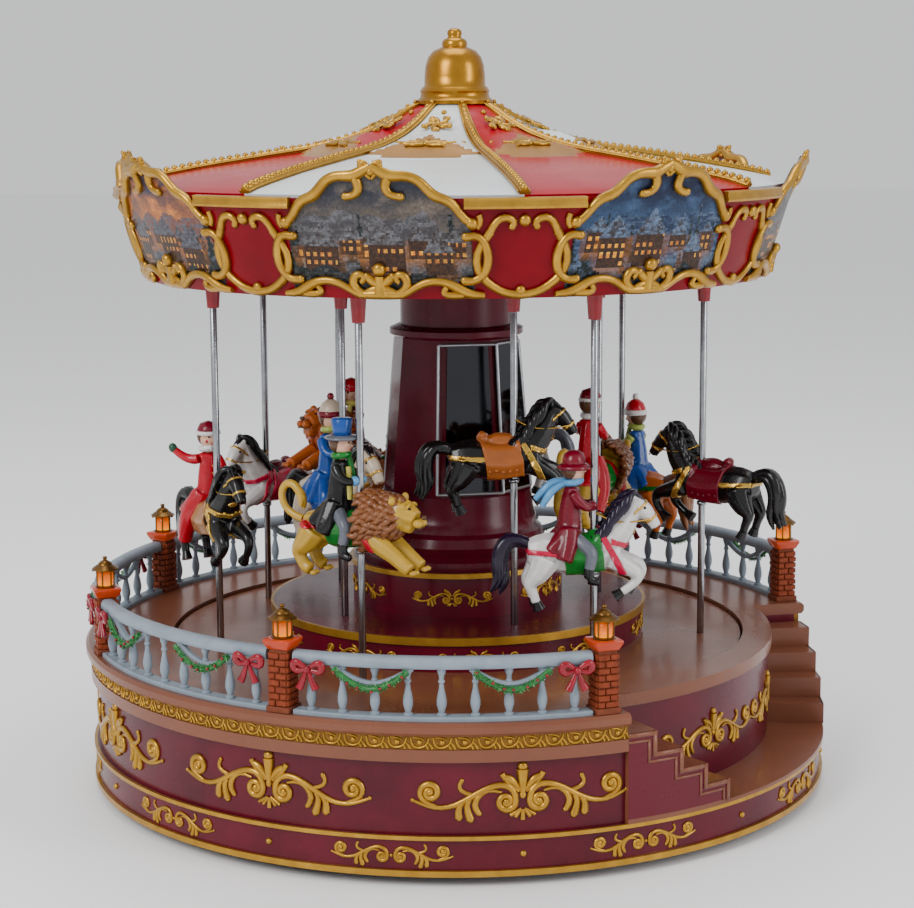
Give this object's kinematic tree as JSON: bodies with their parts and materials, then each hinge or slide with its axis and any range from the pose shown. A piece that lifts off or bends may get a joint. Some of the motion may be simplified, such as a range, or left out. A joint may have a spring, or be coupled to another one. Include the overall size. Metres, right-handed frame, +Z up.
{
  "type": "wind up music box",
  "caption": "Wind up carousel music box: lantern-lit round base with a stair landing, turning tower and canopy, and rising horses and lions.",
  "frame": {"origin": "centre of the circle of feet, on the surface the box stands on", "axes": "+Z up along the turntable spindle, -Y towards the front, +X to the viewer's right"},
  "size_m": [0.3038, 0.3065, 0.3027],
  "materials": {
    "black_plastic": "matte moulded",
    "rubber": "matte",
    "steel": "bright drawn",
    "burgundy": "gloss paint over moulded plastic",
    "gold": "antique gold paint",
    "brown": "satin paint over moulded plastic",
    "brick": "moulded brick courses",
    "lantern_metal": "dark bronze paint",
    "amber_lens": "amber, lit from inside",
    "led": "warm white lamp body",
    "wire": "insulated wire",
    "stone_grey": "grey stone paint with dark wash",
    "garland_green": "painted foliage",
    "bow_red": "gloss red",
    "grey_plastic": "moulded",
    "brass": "turned",
    "cast_zinc": "cast, as made",
    "battery_can": "plain sleeve",
    "mirror": "silvered, in a thin silver frame",
    "canopy_red": "red paint",
    "picture": "printed winter scenes under varnish",
    "roof_red_white": "red and white segments",
    "sleeve_red": "dark red",
    "figure_paint": "hand painted in several colours"
  },
  "bodies": {
    "base": {"base_cover": "black_plastic", "rubber_feet": "rubber", "cover_screws": "steel", "plinth": "burgundy", "gold_bands": "gold", "upper_wall": "burgundy", "leaf_frieze": "gold", "deck_ring": "brown", "stairs": "brown", "base_scrolls": "gold", "brick_posts": "brick", "lantern_frames": "lantern_metal", "lantern_lenses": "amber_lens", "lantern_leds": "led", "led_wiring": "wire", "balustrades": "stone_grey", "garlands": "garland_green", "bows": "bow_red", "cam_plate": "grey_plastic", "spindle_bush": "brass", "movement_bedplate": "cast_zinc", "music_comb": "steel", "battery_box": "black_plastic", "batteries": "battery_can"},
    "rotor": {"spring_barrel": "brass", "spindle": "steel", "turntable": "brown", "centre_platform": "brown", "platform_rim": "gold", "rotor_scrolls": "gold", "tower_drum": "burgundy", "tower_ring": "gold", "tower_column": "burgundy", "tower_mirrors": "mirror", "ceiling": "burgundy", "canopy_band": "canopy_red", "picture_panels": "picture", "canopy_frames": "gold", "roof": "roof_red_white", "roof_ribs": "gold", "finial": "gold", "pole_sleeves": "sleeve_red"},
    "winding_key": {"winding_key": "steel"},
    "music_cylinder": {"music_cylinder": "brass"},
    "governor": {"governor": "brass"},
    "battery_door": {"battery_door": "black_plastic"},
    "power_switch": {"power_switch": "black_plastic"},
    "outer_horse_1": {"outer_horse_1": "figure_paint"},
    "outer_ridden_horse_2": {"outer_ridden_horse_2": "figure_paint"},
    "outer_ridden_lion_3": {"outer_ridden_lion_3": "figure_paint"},
    "outer_ridden_horse_4": {"outer_ridden_horse_4": "figure_paint"},
    "outer_horse_5": {"outer_horse_5": "figure_paint"},
    "outer_lion_6": {"outer_lion_6": "figure_paint"},
    "outer_ridden_horse_7": {"outer_ridden_horse_7": "figure_paint"},
    "inner_horse_1": {"inner_horse_1": "figure_paint"},
    "inner_ridden_horse_2": {"inner_ridden_horse_2": "figure_paint"},
    "inner_ridden_lion_3": {"inner_ridden_lion_3": "figure_paint"},
    "inner_horse_4": {"inner_horse_4": "figure_paint"},
    "inner_ridden_lion_5": {"inner_ridden_lion_5": "figure_paint"}
  },
  "joints": [
    {"name": "rotor_spin", "type": "hinge", "parent": "base", "child": "rotor", "pos_m": [0, 0, 0.0587], "axis": [0, 0, 1], "continuous": true},
    {"name": "key_turn", "type": "hinge", "parent": "base", "child": "winding_key", "pos_m": [0, 0, 0.01], "axis": [0, 0, 1], "continuous": true},
    {"name": "cylinder_turn", "type": "hinge", "parent": "base", "child": "music_cylinder", "pos_m": [0.0345, 0, 0.0295], "axis": [1, 0, 0], "continuous": true},
    {"name": "governor_turn", "type": "hinge", "parent": "base", "child": "governor", "pos_m": [0.05, -0.00805, 0.0295], "axis": [1, 0, 0], "continuous": true},
    {"name": "battery_door_swing", "type": "hinge", "parent": "base", "child": "battery_door", "pos_m": [0, 0.0453, 0.004], "axis": [-1, 0, 0], "range_deg": [0, 95]},
    {"name": "power_switch_slide", "type": "slide", "parent": "base", "child": "power_switch", "axis": [1, 0, 0], "range_m": [0, 0.005]},
    {"name": "outer_horse_1_rise", "type": "slide", "parent": "rotor", "child": "outer_horse_1", "axis": [0, 0, 1], "range_m": [-0.0055, 0.0005]},
    {"name": "outer_ridden_horse_2_rise", "type": "slide", "parent": "rotor", "child": "outer_ridden_horse_2", "axis": [0, 0, 1], "range_m": [-0.0005, 0.0055]},
    {"name": "outer_ridden_lion_3_rise", "type": "slide", "parent": "rotor", "child": "outer_ridden_lion_3", "axis": [0, 0, 1], "range_m": [-0.0045, 0.0015]},
    {"name": "outer_ridden_horse_4_rise", "type": "slide", "parent": "rotor", "child": "outer_ridden_horse_4", "axis": [0, 0, 1], "range_m": [-0.002, 0.004]},
    {"name": "outer_horse_5_rise", "type": "slide", "parent": "rotor", "child": "outer_horse_5", "axis": [0, 0, 1], "range_m": [-0.001, 0.005]},
    {"name": "outer_lion_6_rise", "type": "slide", "parent": "rotor", "child": "outer_lion_6", "axis": [0, 0, 1], "range_m": [-0.003, 0.003]},
    {"name": "outer_ridden_horse_7_rise", "type": "slide", "parent": "rotor", "child": "outer_ridden_horse_7", "axis": [0, 0, 1], "range_m": [-0.0015, 0.0045]},
    {"name": "inner_horse_1_rise", "type": "slide", "parent": "rotor", "child": "inner_horse_1", "axis": [0, 0, 1], "range_m": [-0.0055, 0.0005]},
    {"name": "inner_ridden_horse_2_rise", "type": "slide", "parent": "rotor", "child": "inner_ridden_horse_2", "axis": [0, 0, 1], "range_m": [-0.001, 0.005]},
    {"name": "inner_ridden_lion_3_rise", "type": "slide", "parent": "rotor", "child": "inner_ridden_lion_3", "axis": [0, 0, 1], "range_m": [-0.0025, 0.0035]},
    {"name": "inner_horse_4_rise", "type": "slide", "parent": "rotor", "child": "inner_horse_4", "axis": [0, 0, 1], "range_m": [-0.004, 0.002]},
    {"name": "inner_ridden_lion_5_rise", "type": "slide", "parent": "rotor", "child": "inner_ridden_lion_5", "axis": [0, 0, 1], "range_m": [-0.0015, 0.0045]}
  ],
  "couplings": [
    {"joint": "cylinder_turn", "follows": "rotor_spin", "ratio": 7.5},
    {"joint": "governor_turn", "follows": "rotor_spin", "ratio": -22.5}
  ]
}
